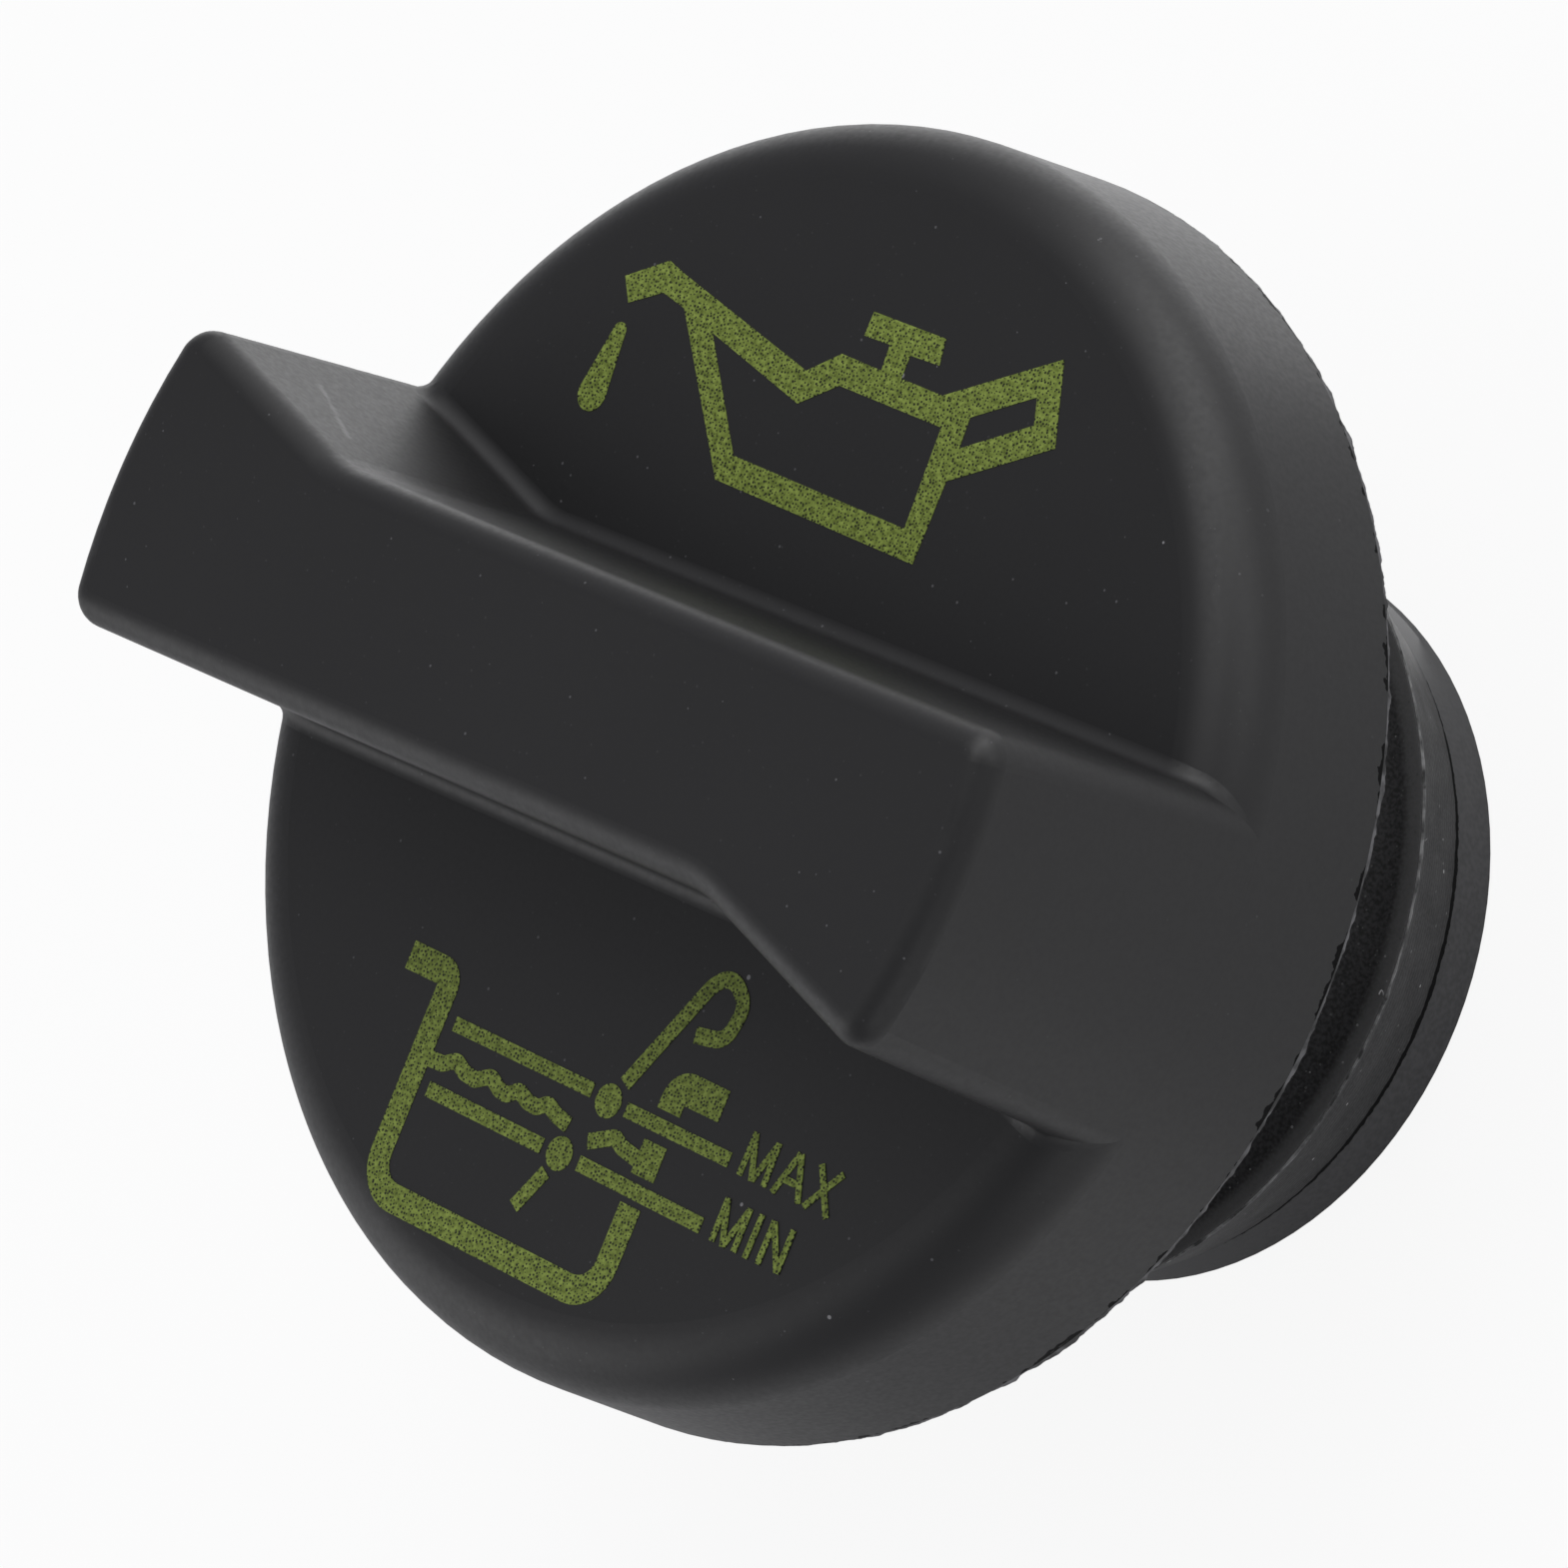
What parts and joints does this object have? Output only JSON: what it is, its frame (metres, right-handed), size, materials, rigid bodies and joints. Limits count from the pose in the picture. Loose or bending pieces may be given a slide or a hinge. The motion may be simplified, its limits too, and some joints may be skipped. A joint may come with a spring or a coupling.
{
  "type": "oil filler cap",
  "caption": "Round moulded oil filler cap with a raised grip bar flared at opposite flanks, printed level signs, and a hollow push-in spigot carrying a rubber lip seal.",
  "frame": {"origin": "on the cap's axis, at the flat end of the spigot", "axes": "+Z along the cap's axis from the spigot's end to the grip bar, +X along the grip bar"},
  "size_m": [0.062, 0.062, 0.0501],
  "materials": {
    "cap_body": "near-black moulded plastic with a fine spark-eroded grain",
    "lip_seal": "black moulded rubber, slightly glossy"
  },
  "bodies": {
    "root": {"cap_body": "cap_body", "lip_seal": "lip_seal"}
  },
  "joints": []
}
